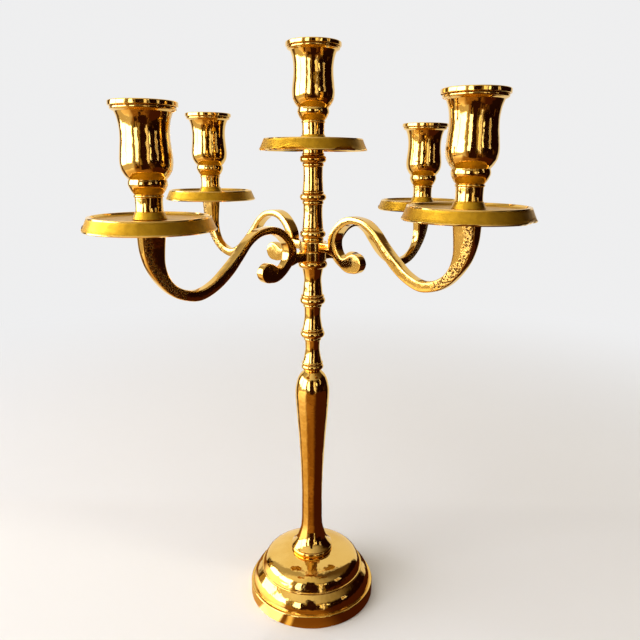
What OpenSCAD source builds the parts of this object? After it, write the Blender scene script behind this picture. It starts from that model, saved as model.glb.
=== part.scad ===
// Five-light candelabrum: a stepped base, a turned column, two double-arm castings stacked
// crosswise on it, and a drip pan and a candle cup on a stud at each of the five lights.
// Millimetres, +Z up, origin at the centre of the underside, front towards -Y.

/* [Base] */
// Radius of the bottom band
base_r = 50.6; // [46:0.1:56]
// Height of the bottom band
band_h = 10.2; // [8:0.1:12]
// Height of the shoulder line between the lower and the upper tier
shoulder_z = 24.4; // [23:0.1:26]
// Radius of the thin lip at the shoulder line
shoulder_r = 41.6; // [38:0.1:44]
// Height of the flat top that the stem stands on
base_top_z = 38.2; // [36:0.1:41]
// Wall of the hollow casting
base_wall = 3; // [2:0.5:4]

/* [Column] */
// Height of the joint between the stem and the lower spindle
stem_top_z = 193.8; // [188:0.1:200]
// Radius of the stem's bell foot
foot_r = 16.8; // [15:0.1:19]
// Radius of the stem at its slim part
slim_r = 8.1; // [7:0.1:9]
// Radius of the stem at its shoulder
belly_r = 13.25; // [11:0.05:15]
// Radius of the beads on the spindles
bead_r = 9.5; // [8.8:0.1:10.5]
// Height of the underside of the lower arm ring
hub_z = 278.4; // [272:0.1:284]
// Height of the seat under the centre drip pan
centre_seat_z = 360; // [354:0.1:368]
// Radius of the tie rod
rod_r = 3; // [2.5:0.1:3.5]

/* [Arms] */
// Radius of the circle of the four outer lights
reach = 129.2; // [124:0.1:134]
// Height of the pan seats above the underside of their arm ring
arm_rise = 35; // [33:0.1:38]
// Height of one arm ring, and so the step between the two arm pairs
ring_h = 7.2; // [7:0.1:8]
// Radius of the arm ring
ring_r = 10; // [9.5:0.1:11]
// Thickness of an arm from side to side
arm_t = 7.4; // [7:0.1:9]
// Turn of the lower arm pair from the +X axis, in degrees
lower_turn = 45; // [0:1:90]

/* [Lights] */
// Radius of the lower edge of a drip pan
pan_r = 38.2; // [35:0.1:40]
// Radius of the upper edge of a drip pan
pan_top_r = 34.8; // [32:0.1:36]
// Height of a drip pan
pan_h = 8.3; // [7:0.1:9]
// Depth of the wax recess in a drip pan
recess = 2; // [1.5:0.1:2.5]
// Thickness of the floor of a drip pan
pan_floor = 2.4; // [2:0.1:3]
// Height of a candle cup
cup_h = 64.5; // [60:0.5:70]
// Radius of a candle cup's rim
rim_r = 19.1; // [18:0.1:21]
// Radius of the candle socket
socket_r = 11.1; // [10.5:0.1:11.5]
// Depth of the candle socket
socket_depth = 25; // [20:1:30]
// Radius of the studs that hold the lights
stud_r = 2.5; // [2:0.1:2.8]

/* [Hidden] */
$fn = 72;

// Radial clearance of every turning fit
play = 0.05;
rod_bore = rod_r + play;
stud_bore = stud_r + play;
// How far a stud goes into its arm, and into its cup, and the gap left beyond its tip
stud_down = 10.5;
stud_up = 9.5;
tip_gap = 0.5;
// Felt pad in the hollow base, and the steel parts that pull the column together
pad_r = 47.6;
pad_h = 2;
boss_r = 9;
boss_z = 10;
washer_h = 1.4;
washer_r = 7.5;
nut_h = 4.8;
nut_r = 5.8;
rod_end_z = boss_z - washer_h - nut_h - 0.8;
rod_top_z = centre_seat_z - 20;
upper_z = hub_z + ring_h;
spindle_z = upper_z + ring_h;
brass = [0.83, 0.63, 0.22];
satin_brass = [0.70, 0.53, 0.18];
steel = [0.62, 0.63, 0.65];
felt = [0.09, 0.16, 0.12];

// Points of an elliptical arc about [r, z], with half-axes a and b, from angle a0 to angle a1
function ellipse_arc(r, z, a, b, a0, a1, n = 8) =
    [for (i = [0:n]) let(t = a0 + (a1 - a0) * i / n) [r + a * cos(t), z + b * sin(t)]];

// A turned bulge that stands out to radius r at height z, 2 * h high and d deep
function bulge(z, r, h, d) = ellipse_arc(r - d, z, d, h, -90, 90, 6);

// A point of a Catmull-Rom span from p1 to p2, at the share t of the way
function span_point(p0, p1, p2, p3, t) = 0.5 * (2 * p1 + (p2 - p0) * t
    + (2 * p0 - 5 * p1 + 4 * p2 - p3) * t * t + (3 * p1 - p0 - 3 * p2 + p3) * t * t * t);

// A smooth line through the knots k, with n steps to a span
function smooth(k, n) = [for (i = [0:len(k) - 2]) for (j = [0:n - 1])
    span_point(k[max(i - 1, 0)], k[i], k[i + 1], k[min(i + 2, len(k) - 1)], j / n),
    k[len(k) - 1]];

// A turned joint of the spindle: a small ring, a bead and a collar above it
function knot(z, bead, ring, collar) =
    concat(bulge(z - 3.9, ring, 1.1, 0.6), bulge(z, bead, 2.4, 1.7), bulge(z + 3.3, collar, 0.8, 0.6));

// A hollow waist from [r0, z0] to [r1, z1] that narrows to r_min at 0.6 of its height
function waist(z0, r0, z1, r1, r_min) = smooth([[r0, z0],
    [(r0 + r_min) / 2, z0 + (z1 - z0) * 0.25], [r_min, z0 + (z1 - z0) * 0.6], [r1, z1]], 2);

// A solid of revolution from an outline that runs upwards, with a through bore along the axis
module turned(outline, bore_r = 0) {
    rotate_extrude()
        polygon(concat([[bore_r, outline[0][1]]], outline, [[bore_r, outline[len(outline) - 1][1]]]));
}

// ---- Base ----

module base() {
    // A thin lip runs round the foot of each tier; the lower tier leans in, the upper one is a low dome
    foot_edge = 0.6;
    lip_r = 0.8;
    lip_h = 0.9;
    groove = 2.2;
    tier_h = shoulder_z - band_h;
    dome_h = base_top_z - shoulder_z;
    band = [[base_r - foot_edge, 0], [base_r, foot_edge], [base_r, band_h - lip_h]];
    lip = ellipse_arc(base_r - lip_r, band_h - 0.5, lip_r, lip_h, 0, 90, 4);
    lower_tier = [[base_r - groove, band_h + 0.3], [base_r - groove - 0.8, band_h + tier_h * 0.27],
                  [base_r - groove - 2.8, band_h + tier_h * 0.58], [shoulder_r, shoulder_z - 1.4]];
    shoulder_lip = [[shoulder_r, shoulder_z - 0.4], [shoulder_r - 0.4, shoulder_z]];
    dome = [[shoulder_r - 1.2, shoulder_z + 0.1], [shoulder_r - 2.2, shoulder_z + dome_h * 0.21],
            [shoulder_r - 3.7, shoulder_z + dome_h * 0.44], [shoulder_r - 6.4, shoulder_z + dome_h * 0.64],
            [shoulder_r - 10.6, shoulder_z + dome_h * 0.79], [shoulder_r - 15.6, shoulder_z + dome_h * 0.9],
            [shoulder_r - 21, shoulder_z + dome_h * 0.97], [foot_r - 1.2, base_top_z]];
    inset = base_wall * 0.8;
    hollow = [for (p = concat(lower_tier, dome)) p - [inset, inset]];
    color(brass) difference() {
        turned(concat(band, lip, smooth(lower_tier, 2), shoulder_lip, smooth(dome, 2)), rod_bore);
        // The hollow follows the outside at one wall's distance, around a central boss
        rotate_extrude() polygon(concat([[boss_r, -1], [pad_r + 0.1, -1], [pad_r + 0.1, pad_h]],
            [[hollow[0][0], pad_h]], hollow, [[boss_r, base_top_z - inset]]));
        translate([0, 0, -1]) cylinder(r = boss_r + 1, h = boss_z + 1);
    }
}

module base_pad() {
    color(felt) cylinder(r = pad_r, h = pad_h);
}

module base_washer() {
    color(steel) translate([0, 0, boss_z - washer_h]) difference() {
        cylinder(r = washer_r, h = washer_h);
        translate([0, 0, -1]) cylinder(r = rod_bore, h = washer_h + 2);
    }
}

module base_nut() {
    color(steel) translate([0, 0, boss_z - washer_h - nut_h]) difference() {
        cylinder(r = nut_r, h = nut_h, $fn = 6);
        translate([0, 0, -1]) cylinder(r = rod_bore, h = nut_h + 2);
    }
}

// ---- Column ----

module tie_rod() {
    color(steel) translate([0, 0, rod_end_z]) cylinder(r = rod_r, h = rod_top_z - rod_end_z);
}

module stem() {
    // Bell foot, slim shank and shouldered belly, as fractions of the height between them
    foot_z = base_top_z + 3.7;
    h = stem_top_z - foot_z;
    foot = concat(bulge(base_top_z + 1.7, foot_r, 1.7, 1.3), [[foot_r - 1.5, foot_z]]);
    shank = smooth([[foot_r - 0.3, foot_z + 0.6], [foot_r * 0.88, foot_z + 2.4],
        [foot_r * 0.73, foot_z + 5.8], [foot_r * 0.61, foot_z + 11], [slim_r * 1.06, foot_z + 18],
        [slim_r, foot_z + h * 0.2], [slim_r * 1.04, foot_z + h * 0.37],
        [slim_r * 1.27, foot_z + h * 0.6], [belly_r * 0.93, foot_z + h * 0.77],
        [belly_r, foot_z + h * 0.875], [belly_r * 0.93, foot_z + h * 0.93],
        [belly_r * 0.77, foot_z + h * 0.97], [slim_r * 0.76, stem_top_z]], 5);
    color(brass) turned(concat(foot, shank), rod_bore);
}

module lower_spindle() {
    pitch = (hub_z - stem_top_z) * 0.307;
    collar_h = 2.6;
    z1 = stem_top_z + 2.9;
    z2 = z1 + pitch;
    z3 = z2 + pitch;
    neck_z = hub_z - 2 * collar_h - 0.2;
    outline = concat(
        [[bead_r - 3.4, stem_top_z]],
        bulge(z1, bead_r - 1, 2.2, 1.7), bulge(z1 + 3, bead_r - 1.4, 0.7, 0.5),
        waist(z1 + 4.3, bead_r - 2.3, z2 - 5, bead_r - 3.7, bead_r - 4),
        knot(z2, bead_r - 0.3, bead_r - 2.9, bead_r - 1.1),
        waist(z2 + 4.7, bead_r - 2, z3 - 5, bead_r - 3.2, bead_r - 3.4),
        knot(z3, bead_r, bead_r - 2.4, bead_r - 0.8),
        waist(z3 + 4.7, bead_r - 2, neck_z, bead_r - 1.6, bead_r - 3),
        bulge(hub_z - collar_h, bead_r + 1.2, collar_h, 2.1));
    color(brass) turned(outline, rod_bore);
}

module upper_spindle() {
    pitch = (centre_seat_z - spindle_z) * 0.391;
    z1 = spindle_z + 5.2;
    z2 = z1 + pitch;
    z3 = z2 + pitch;
    outline = concat(
        [[bead_r - 2, spindle_z]],
        knot(z1, bead_r - 0.2, bead_r - 1.7, bead_r - 1.6),
        waist(z1 + 4.7, bead_r - 2, z2 - 5.3, bead_r - 2.5, bead_r - 2.6),
        knot(z2, bead_r, bead_r - 1.8, bead_r - 1.6),
        waist(z2 + 4.7, bead_r - 2.1, z3 - 5.3, bead_r - 2.5, bead_r - 2.6),
        knot(z3, bead_r - 0.1, bead_r - 1.8, bead_r - 1.5),
        [[bead_r - 1.8, centre_seat_z]]);
    // The tie rod's hole from below and the stud's hole from above don't meet
    color(brass) difference() {
        turned(outline);
        translate([0, 0, spindle_z - 1]) cylinder(r = rod_bore, h = rod_top_z - spindle_z + 1 + tip_gap);
        translate([0, 0, centre_seat_z - stud_down - tip_gap])
            cylinder(r = stud_bore, h = stud_down + tip_gap + 1);
    }
}

// ---- Arms ----

// Half the length of the flat seat on top of a horn
seat_half_w = 8.8;
// Knots of the scroll as [distance from the column, height above the ring's underside, half-width]:
// the curl, the rise at the hub, the arch, the sweep down and the horn under the drip pan
scroll = [
    [42.9, -7.1, 3.8], [36.6, -6.8, 3.8], [31.0, -4.1, 3.8], [26.4, 0.3, 4.0], [23.6, 5.5, 4.3],
    [23.4, 11.5, 4.0], [25.7, 17.9, 3.2], [31.8, 23.2, 2.6], [41.6, 24.9, 2.4], [53.0, 22.7, 2.4],
    [66.4, 11.2, 2.8], [reach - 48.4, -2.7, 3.4], [reach - 30.6, -11.7, 3.9],
    [reach - 15.2, -8.0, 4.0], [reach - 4.8, 2.1, 4.9], [reach - 0.5, 14.4, 6.9],
    [reach, arm_rise - 8.5, 8.2], [reach, arm_rise, seat_half_w]];
volute = [42.9, -4.4];
volute_r = 6.9;
volute_t = 6;
lug_l = 14.5;
lug_t = 5.4;
lug_edge = 0.3;
stud_boss_r = 4.8;
stud_boss_h = 6;

// Edge point i of the scroll, off the middle line by its half-width, to the given side
function edge(line, i, side) = let(
    d = line[min(i + 1, len(line) - 1)] - line[max(i - 1, 0)], l = norm([d[0], d[1]]),
    w = side * line[i][2]) [line[i][0] - d[1] / l * w, line[i][1] + d[0] / l * w];

module arm() {
    line = smooth(scroll, 4);
    // The horn ends square, at the seat of the pan
    n = len(line) - 2;
    seat = [for (side = [-1, 1]) [reach + side * seat_half_w, arm_rise]];
    rotate([90, 0, 0]) linear_extrude(arm_t, center = true)
        polygon(concat([for (i = [0:n]) edge(line, i, 1)], seat, [for (i = [n:-1:0]) edge(line, i, -1)]));
    translate([volute[0], 0, volute[1]]) rotate([90, 0, 0])
        cylinder(r = volute_r, h = volute_t, center = true);
    // Lug from the ring to the rise of the scroll
    translate([ring_r - 2, -lug_t / 2, lug_edge]) cube([lug_l, lug_t, ring_h - 2 * lug_edge]);
    // Boss around the stud
    translate([reach, 0, arm_rise - stud_boss_h]) cylinder(r = stud_boss_r, h = stud_boss_h);
}

module arm_pair() {
    ring_edge = 0.6;
    difference() {
        union() {
            turned([[ring_r - ring_edge, 0], [ring_r, ring_edge], [ring_r, ring_h - ring_edge],
                    [ring_r - ring_edge, ring_h]], rod_bore);
            for (turn = [0, 180]) rotate([0, 0, turn]) difference() {
                arm();
                translate([reach, 0, arm_rise - stud_down - tip_gap])
                    cylinder(r = stud_bore, h = stud_down + tip_gap + 1);
            }
        }
        translate([0, 0, -1]) cylinder(r = rod_bore, h = ring_h + 2);
    }
}

module lower_arm_pair() {
    color(brass) translate([0, 0, hub_z]) rotate([0, 0, lower_turn]) arm_pair();
}

module upper_arm_pair() {
    color(brass) translate([0, 0, upper_z]) rotate([0, 0, lower_turn + 90]) arm_pair();
}

// ---- Lights ----

// Seats of the lights as [distance from the column, direction in degrees, height]
centre = [0, 0, centre_seat_z];
back_right = [reach, lower_turn, hub_z + arm_rise];
front_left = [reach, lower_turn + 180, hub_z + arm_rise];
back_left = [reach, lower_turn + 90, upper_z + arm_rise];
front_right = [reach, lower_turn + 270, upper_z + arm_rise];

module at_light(light) {
    translate([light[0] * cos(light[1]), light[0] * sin(light[1]), light[2]]) children();
}

module cup_stud() {
    tip = 0.5;
    top = pan_floor + stud_up;
    color(steel) rotate_extrude() polygon([[0, -stud_down], [stud_r - tip, -stud_down],
        [stud_r, tip - stud_down], [stud_r, top - tip], [stud_r - tip, top], [0, top]]);
}

// An inverted dish with a shallow recess for the wax, its floor resting on the seat
module drip_pan() {
    lip_w = 1.5;
    wall = 2.2;
    top = pan_floor + recess;
    bottom = top - pan_h;
    outer = [[pan_r - 0.5, bottom], [pan_r, bottom + 0.5],
             [pan_top_r + 0.2, top - 0.4], [pan_top_r - 0.4, top]];
    inner = [[pan_top_r - lip_w, top], [pan_top_r - lip_w - 1, pan_floor + 0.2],
             [pan_top_r - lip_w - 2, pan_floor]];
    under = [[pan_top_r - wall - 0.5, 0], [pan_r - wall, bottom]];
    color(satin_brass) rotate_extrude()
        polygon(concat(outer, inner, [[stud_bore, pan_floor], [stud_bore, 0]], under));
}

module candle_cup() {
    foot = [[9.5, 0], [9.9, 0.5], [8.3, 4.4]];
    neck = smooth([[8, 4.6], [7.8, 7], [7.8, 9.4], [7.9, 12.2]], 2);
    bulb = concat(bulge(13.2, 8.5, 0.7, 0.6), smooth([[8.3, 14.3], [9.6, 16], [10.9, 18.8], [11.1, 20.6],
        [10.7, 22.4]], 3));
    bell = smooth([[11.1, 22.9], [12.6, 24.8], [14.2, 28], [14.8, 32.4], [14.4, 38], [13.8, 44],
        [13.75, 49.5], [14.5, 54.8], [15.9, cup_h - 5.6]], 4);
    rings = [[17.5, cup_h - 4.7], [18.1, cup_h - 4.3], [18.1, cup_h - 3.3], [17.5, cup_h - 3],
        [rim_r - 0.3, cup_h - 2.8], [rim_r, cup_h - 2.5], [rim_r, cup_h - 0.4], [rim_r - 0.4, cup_h]];
    // The mouth slopes from the flat rim down to the straight socket
    mouth = [[socket_r + 3.2, cup_h], [socket_r + 1.4, cup_h - 1], [socket_r, cup_h - 3.4]];
    color(brass) difference() {
        turned(concat(foot, neck, bulb, bell, rings));
        translate([0, 0, -1]) cylinder(r = stud_bore, h = stud_up + tip_gap + 1);
        rotate_extrude() polygon(concat([[0, cup_h + 1], [socket_r + 3.2, cup_h + 1]], mouth,
            [[socket_r, cup_h - socket_depth], [0, cup_h - socket_depth - 3]]));
    }
}

// A candle cup in place on the floor of its drip pan
module seated_cup() {
    translate([0, 0, pan_floor]) candle_cup();
}

base();
base_pad();
base_washer();
base_nut();
tie_rod();
stem();
lower_spindle();
lower_arm_pair();
upper_arm_pair();
upper_spindle();
at_light(centre) cup_stud();  // cup_stud_centre
at_light(front_left) cup_stud();  // cup_stud_front_left
at_light(back_right) cup_stud();  // cup_stud_back_right
at_light(front_right) cup_stud();  // cup_stud_front_right
at_light(back_left) cup_stud();  // cup_stud_back_left
at_light(centre) drip_pan();  // drip_pan_centre
at_light(front_left) drip_pan();  // drip_pan_front_left
at_light(back_right) drip_pan();  // drip_pan_back_right
at_light(front_right) drip_pan();  // drip_pan_front_right
at_light(back_left) drip_pan();  // drip_pan_back_left
at_light(centre) seated_cup();  // candle_cup_centre
at_light(front_left) seated_cup();  // candle_cup_front_left
at_light(back_right) seated_cup();  // candle_cup_back_right
at_light(front_right) seated_cup();  // candle_cup_front_right
at_light(back_left) seated_cup();  // candle_cup_back_left
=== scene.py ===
import math

import bpy
from mathutils import Matrix, Vector, noise


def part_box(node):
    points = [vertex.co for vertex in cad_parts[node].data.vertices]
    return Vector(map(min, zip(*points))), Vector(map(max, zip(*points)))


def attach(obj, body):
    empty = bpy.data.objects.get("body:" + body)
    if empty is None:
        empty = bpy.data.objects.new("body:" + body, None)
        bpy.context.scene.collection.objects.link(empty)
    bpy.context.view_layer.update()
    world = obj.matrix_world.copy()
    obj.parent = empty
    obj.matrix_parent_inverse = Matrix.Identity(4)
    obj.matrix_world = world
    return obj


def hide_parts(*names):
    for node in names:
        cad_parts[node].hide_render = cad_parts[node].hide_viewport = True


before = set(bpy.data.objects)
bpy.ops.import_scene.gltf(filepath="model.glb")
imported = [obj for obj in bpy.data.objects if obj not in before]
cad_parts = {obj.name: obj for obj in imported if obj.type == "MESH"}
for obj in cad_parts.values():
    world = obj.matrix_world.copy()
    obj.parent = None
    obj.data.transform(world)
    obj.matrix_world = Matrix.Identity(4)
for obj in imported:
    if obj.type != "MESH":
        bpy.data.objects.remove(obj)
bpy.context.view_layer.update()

# Five-light candelabrum. Outlines are in millimetres, as [radius, height] pairs, and every piece
# is placed by the boxes of the CAD nodes. Objects are in metres.
MM = 0.001
PLACES = ["centre", "front_left", "back_right", "front_right", "back_left"]
SEGMENTS = 160
# Edges sharper than this many degrees aren't shaded smooth
SHARP_DEGREES = 38


def box_mm(node):
    low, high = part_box(node)
    return low / MM, high / MM


# ---- Outlines ----

def ellipse_arc(r, z, a, b, start, end, steps=18):
    """Points of an elliptical arc about [r, z] with half-axes a and b, angles in degrees."""
    angles = [math.radians(start + (end - start) * i / steps) for i in range(steps + 1)]
    return [(r + a * math.cos(t), z + b * math.sin(t)) for t in angles]


def bulge(z, r, h, d):
    """A turned bulge that stands out to radius r at height z, 2 h high and d deep."""
    return ellipse_arc(r - d, z, d, h, -90, 90, 16)


def smooth(knots, steps=8):
    """A Catmull-Rom line through knots of any dimension."""
    last = len(knots) - 1
    line = []
    for i in range(last):
        p0, p1, p2, p3 = knots[max(i - 1, 0)], knots[i], knots[i + 1], knots[min(i + 2, last)]
        for j in range(steps):
            t = j / steps
            line.append(tuple(
                0.5 * (2 * b + (c - a) * t + (2 * a - 5 * b + 4 * c - d) * t * t
                       + (3 * b - a - 3 * c + d) * t ** 3)
                for a, b, c, d in zip(p0, p1, p2, p3)))
    return line + [tuple(knots[last])]


def knot(z, bead, ring, collar):
    """A turned joint of the spindle: a small ring, a bead and a collar above it."""
    return bulge(z - 3.9, ring, 1.1, 0.6) + bulge(z, bead, 2.4, 1.7) + bulge(z + 3.3, collar, 0.8, 0.6)


def waist(z0, r0, z1, r1, r_min):
    """A hollow waist that narrows to r_min at 0.6 of its height."""
    return smooth([(r0, z0), ((r0 + r_min) / 2, z0 + (z1 - z0) * 0.25), (r_min, z0 + (z1 - z0) * 0.6),
                   (r1, z1)])


def softened(outline, radius, steps=4, closed=False):
    """Rounds each corner of more than 28 degrees, with a point on each side that keeps flats flat."""
    corner_angle = math.radians(28)
    points = [Vector(p) for p in outline]
    points = [p for i, p in enumerate(points) if i == 0 or (p - points[i - 1]).length > 1e-4]
    result = []
    count = len(points)
    for i, p in enumerate(points):
        if not closed and i in (0, count - 1):
            result.append(tuple(p))
            continue
        before, after = points[i - 1] - p, points[(i + 1) % count] - p
        turn = math.pi - before.angle(after)
        if turn < corner_angle:
            result.append(tuple(p))
            continue
        cut = min(radius, before.length * 0.42, after.length * 0.42)
        start, end = p + before.normalized() * cut, p + after.normalized() * cut
        if before.length > cut * 4:
            result.append(tuple(p + before.normalized() * cut * 1.5))
        for j in range(steps + 1):
            t = j / steps
            result.append(tuple(start * (1 - t) ** 2 + p * 2 * t * (1 - t) + end * t * t))
        if after.length > cut * 4:
            result.append(tuple(p + after.normalized() * cut * 1.5))
    return result


# ---- Meshes ----

def new_piece(name, vertices, faces, origin=(0, 0, 0)):
    """A smoothly shaded object from vertices and an origin in millimetres."""
    mesh = bpy.data.meshes.new(name)
    mesh.from_pydata([tuple(c * MM for c in v) for v in vertices], [], faces)
    mesh.validate()
    piece = bpy.data.objects.new(name, mesh)
    piece.location = Vector(origin) * MM
    bpy.context.scene.collection.objects.link(piece)
    shade(mesh)
    return piece


def shade(mesh):
    mesh.polygons.foreach_set("use_smooth", [True] * len(mesh.polygons))
    mesh.set_sharp_from_angle(angle=math.radians(SHARP_DEGREES))


def lathe(name, outline, origin=(0, 0, 0), closed=False, segments=SEGMENTS, shape=None):
    """Turns an outline about the piece's axis. An open outline starts and ends on the axis; a closed
    one goes round a bore. shape(r, z, angle, i), if given, returns the changed r and z of a point."""
    vertices, rings = [], []
    for i, (r, z) in enumerate(outline):
        if r < 1e-6:
            rings.append([len(vertices)])
            vertices.append((0, 0, z))
            continue
        ring = []
        for k in range(segments):
            angle = 2 * math.pi * k / segments
            r2, z2 = shape(r, z, angle, i) if shape else (r, z)
            ring.append(len(vertices))
            vertices.append((r2 * math.cos(angle), r2 * math.sin(angle), z2))
        rings.append(ring)
    pairs = list(zip(rings, rings[1:])) + ([(rings[-1], rings[0])] if closed else [])
    faces = []
    for a, b in pairs:
        for k in range(segments):
            n = (k + 1) % segments
            if len(a) == 1:
                faces.append((a[0], b[n], b[k]))
            elif len(b) == 1:
                faces.append((a[k], a[n], b[0]))
            else:
                faces.append((a[k], a[n], b[n], b[k]))
    return new_piece(name, vertices, faces, origin)


def loft(name, sections):
    """A closed skin over sections of equal point count, with a flat cap at each end."""
    count = len(sections[0])
    vertices = [p for section in sections for p in section]
    faces = [tuple(reversed(range(count)))]
    for s in range(len(sections) - 1):
        for k in range(count):
            n = (k + 1) % count
            faces.append((s * count + k, s * count + n, (s + 1) * count + n, (s + 1) * count + k))
    faces.append(tuple((len(sections) - 1) * count + k for k in range(count)))
    return new_piece(name, vertices, faces)


def combine(piece, others, operation):
    """Joins or cuts closed pieces into one mesh, and removes the others."""
    for other in others:
        step = piece.modifiers.new("step", "BOOLEAN")
        step.solver = "EXACT"
        step.operation = operation
        step.object = other
        shaped = bpy.data.meshes.new_from_object(piece.evaluated_get(bpy.context.evaluated_depsgraph_get()))
        piece.modifiers.clear()
        piece.data = shaped
        bpy.data.objects.remove(other)
    shade(piece.data)


# ---- Materials ----

class Nodes:
    """Short names for the nodes of one procedural material or world."""

    def __init__(self, tree):
        self.tree = tree
        tree.nodes.clear()

    def add(self, kind, inputs=None, **settings):
        node = self.tree.nodes.new(kind)
        for key, value in settings.items():
            setattr(node, key, value)
        for key, value in (inputs or {}).items():
            self.feed(node.inputs[key], value)
        return node

    def feed(self, socket, value):
        if isinstance(value, bpy.types.NodeSocket):
            self.tree.links.new(value, socket)
        else:
            socket.default_value = value

    def math(self, operation, a, b=0.0, c=0.0):
        return self.add("ShaderNodeMath", {0: a, 1: b, 2: c}, operation=operation).outputs[0]

    def step(self, value, low, high):
        """0 below low, 1 above high, smooth between; a high under low turns it round."""
        return self.add("ShaderNodeMapRange", {"Value": value, "From Min": low, "From Max": high},
                        interpolation_type="SMOOTHSTEP").outputs[0]

    def between(self, value, low, high, soft):
        """1 between low and high, 0 outside, with soft ends."""
        return self.math("MULTIPLY", self.step(value, low - soft, low + soft),
                         self.step(value, high + soft, high - soft))

    def noise(self, vector, scale, detail=3.0, roughness=0.5):
        return self.add("ShaderNodeTexNoise", {"Vector": vector, "Scale": scale, "Detail": detail,
                                               "Roughness": roughness}).outputs["Fac"]

    def vector(self, x, y, z):
        return self.add("ShaderNodeCombineXYZ", {0: x, 1: y, 2: z}).outputs[0]

    def mix(self, share, a, b):
        """Colour a, with the given share of colour b."""
        node = self.add("ShaderNodeMix", data_type="RGBA")
        self.feed(node.inputs["Factor"], share)
        self.feed(node.inputs[6], a)
        self.feed(node.inputs[7], b)
        return node.outputs[2]

    def blend(self, share, a, b):
        """Number a, with the given share of number b."""
        return self.add("ShaderNodeMix", {"Factor": share, 2: a, 3: b}, data_type="FLOAT").outputs[0]

    def bump(self, height, depth_mm, normal=None):
        inputs = {"Height": height, "Strength": 1.0, "Distance": depth_mm * MM}
        if normal is not None:
            inputs["Normal"] = normal
        return self.add("ShaderNodeBump", inputs).outputs[0]

    def surface(self, shader):
        self.add("ShaderNodeOutputMaterial", {"Surface": shader.outputs[0]})


def empty_material(name):
    """A node material without a shader, its nodes and its object coordinates in metres."""
    made = bpy.data.materials.new(name)
    made.use_nodes = True
    nodes = Nodes(made.node_tree)
    return made, nodes, nodes.add("ShaderNodeTexCoord").outputs["Object"]


def material(name, build):
    """A node material: build(nodes, position, radius, height) returns the shader's inputs. Position is
    in millimetres in the piece's own frame, radius is the distance from its axis."""
    made, nodes, place = empty_material(name)
    position = nodes.add("ShaderNodeVectorMath", {0: place, "Scale": 1 / MM}, operation="SCALE").outputs[0]
    parts = nodes.add("ShaderNodeSeparateXYZ", {0: position}).outputs
    flat = nodes.vector(parts[0], parts[1], 0.0)
    radius = nodes.add("ShaderNodeVectorMath", {0: flat}, operation="LENGTH").outputs["Value"]
    nodes.surface(nodes.add("ShaderNodeBsdfPrincipled", build(nodes, position, radius, parts[2])))
    return made


BRASS = (0.90, 0.59, 0.165, 1)
BRASS_DEEP = (0.83, 0.51, 0.115, 1)
BRASS_PALE = (0.95, 0.73, 0.33, 1)
TARNISH = (0.12, 0.05, 0.012, 1)
OLIVE = (0.62, 0.345, 0.022, 1)
OLIVE_DEEP = (0.52, 0.28, 0.016, 1)


def brass_tone(nodes, position):
    """Brass that drifts between two tones, with a little tarnish in its corners and pale worn edges."""
    drift = nodes.step(nodes.noise(position, 0.045, 4), 0.35, 0.65)
    tone = nodes.mix(drift, BRASS, BRASS_DEEP)
    edge = nodes.add("ShaderNodeNewGeometry").outputs["Pointiness"]
    speckle = nodes.noise(position, 0.9, 4)
    worn = nodes.math("MULTIPLY", nodes.step(edge, 0.53, 0.62), nodes.step(speckle, 0.35, 0.6))
    tone = nodes.mix(worn, tone, BRASS_PALE)
    corner = nodes.add("ShaderNodeAmbientOcclusion", {"Distance": 3 * MM}, samples=8,
                       only_local=True).outputs["AO"]
    dirt = nodes.math("MULTIPLY", nodes.step(corner, 0.72, 0.35), nodes.step(speckle, 0.3, 0.62))
    return nodes.mix(nodes.math("MULTIPLY", dirt, 0.75), tone, TARNISH), dirt, speckle


def turned_brass(nodes, position, radius, height):
    """Polished brass with faint lathe lines, hand-buffed ripples and smudges."""
    tone, dirt, speckle = brass_tone(nodes, position)
    lines = nodes.noise(nodes.vector(radius, 0.0, height), 9.0, 2)
    ripple = nodes.noise(position, 0.12, 2)
    normal = nodes.bump(ripple, 0.35)
    normal = nodes.bump(lines, 0.004, normal)
    normal = nodes.bump(speckle, 0.004, normal)
    smudge = nodes.step(nodes.noise(position, 0.16, 5, 0.62), 0.52, 0.72)
    roughness = nodes.math("MULTIPLY_ADD", smudge, 0.09, 0.07)
    roughness = nodes.math("MULTIPLY_ADD", dirt, 0.3, roughness)
    return {"Base Color": tone, "Metallic": 1.0, "Roughness": roughness, "Normal": normal}


def cup_brass(nodes, position, radius, height):
    """Turned brass outside, a satin foot, and the dull, wax-stained inside of the candle socket."""
    look = turned_brass(nodes, position, radius, height)
    foot = nodes.step(height, FOOT_H + 0.1, FOOT_H - 0.1)
    look["Base Color"] = nodes.mix(foot, look["Base Color"], OLIVE)
    look["Roughness"] = nodes.blend(foot, look["Roughness"], 0.34)
    inside = nodes.math("MULTIPLY", nodes.step(radius, SOCKET_R + 0.5, SOCKET_R + 0.1),
                        nodes.step(height, CUP_H - SOCKET_DEPTH - 5, CUP_H - SOCKET_DEPTH - 4))
    stain = nodes.step(nodes.noise(position, 0.35, 5, 0.6), 0.4, 0.62)
    dull = nodes.mix(stain, (0.42, 0.27, 0.085, 1), (0.10, 0.06, 0.025, 1))
    look["Base Color"] = nodes.mix(inside, look["Base Color"], dull)
    look["Roughness"] = nodes.blend(inside, look["Roughness"], 0.5)
    return look


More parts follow.
